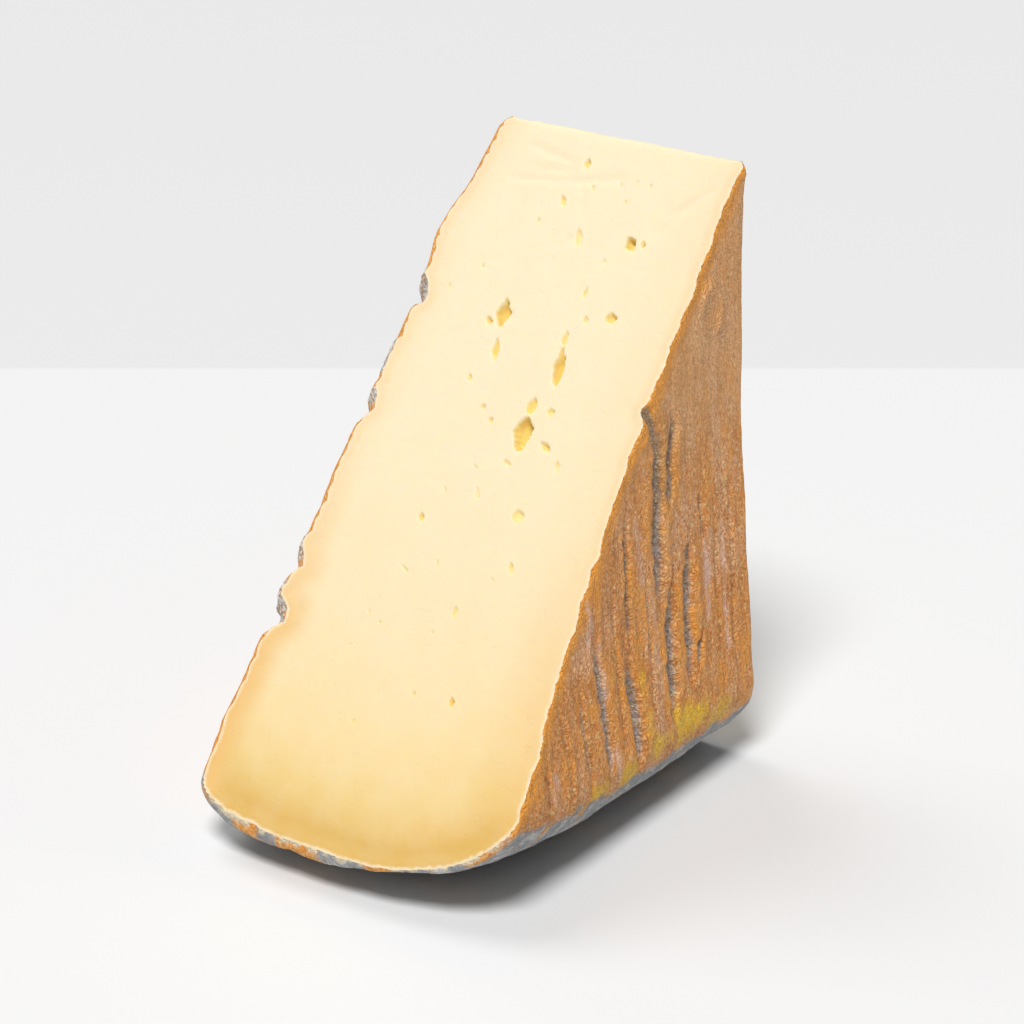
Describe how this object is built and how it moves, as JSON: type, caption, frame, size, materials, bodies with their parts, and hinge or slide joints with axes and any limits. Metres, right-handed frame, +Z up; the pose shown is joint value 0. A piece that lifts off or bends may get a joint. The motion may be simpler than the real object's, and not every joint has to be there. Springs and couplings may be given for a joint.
{
  "type": "taleggio cheese wedge",
  "caption": "Wedge of soft washed-rind cheese standing on its rim: a pale paste on two straight cuts, with small eyes, and a grooved rind with mould round the outside.",
  "frame": {"origin": "centre of the bounding box's bottom, on the surface that the wedge stands on", "axes": "+X through the slab's thickness, towards the rind face that the picture shows; +Y from the front cut to the rear cut; +Z up, from the rim to the tip"},
  "size_m": [0.0568, 0.0794, 0.1],
  "materials": {
    "cheese": "satin pale yellow paste on the cuts, matt orange-brown rind with grey mould"
  },
  "bodies": {
    "root": {"cheese_wedge": "cheese"}
  },
  "joints": []
}
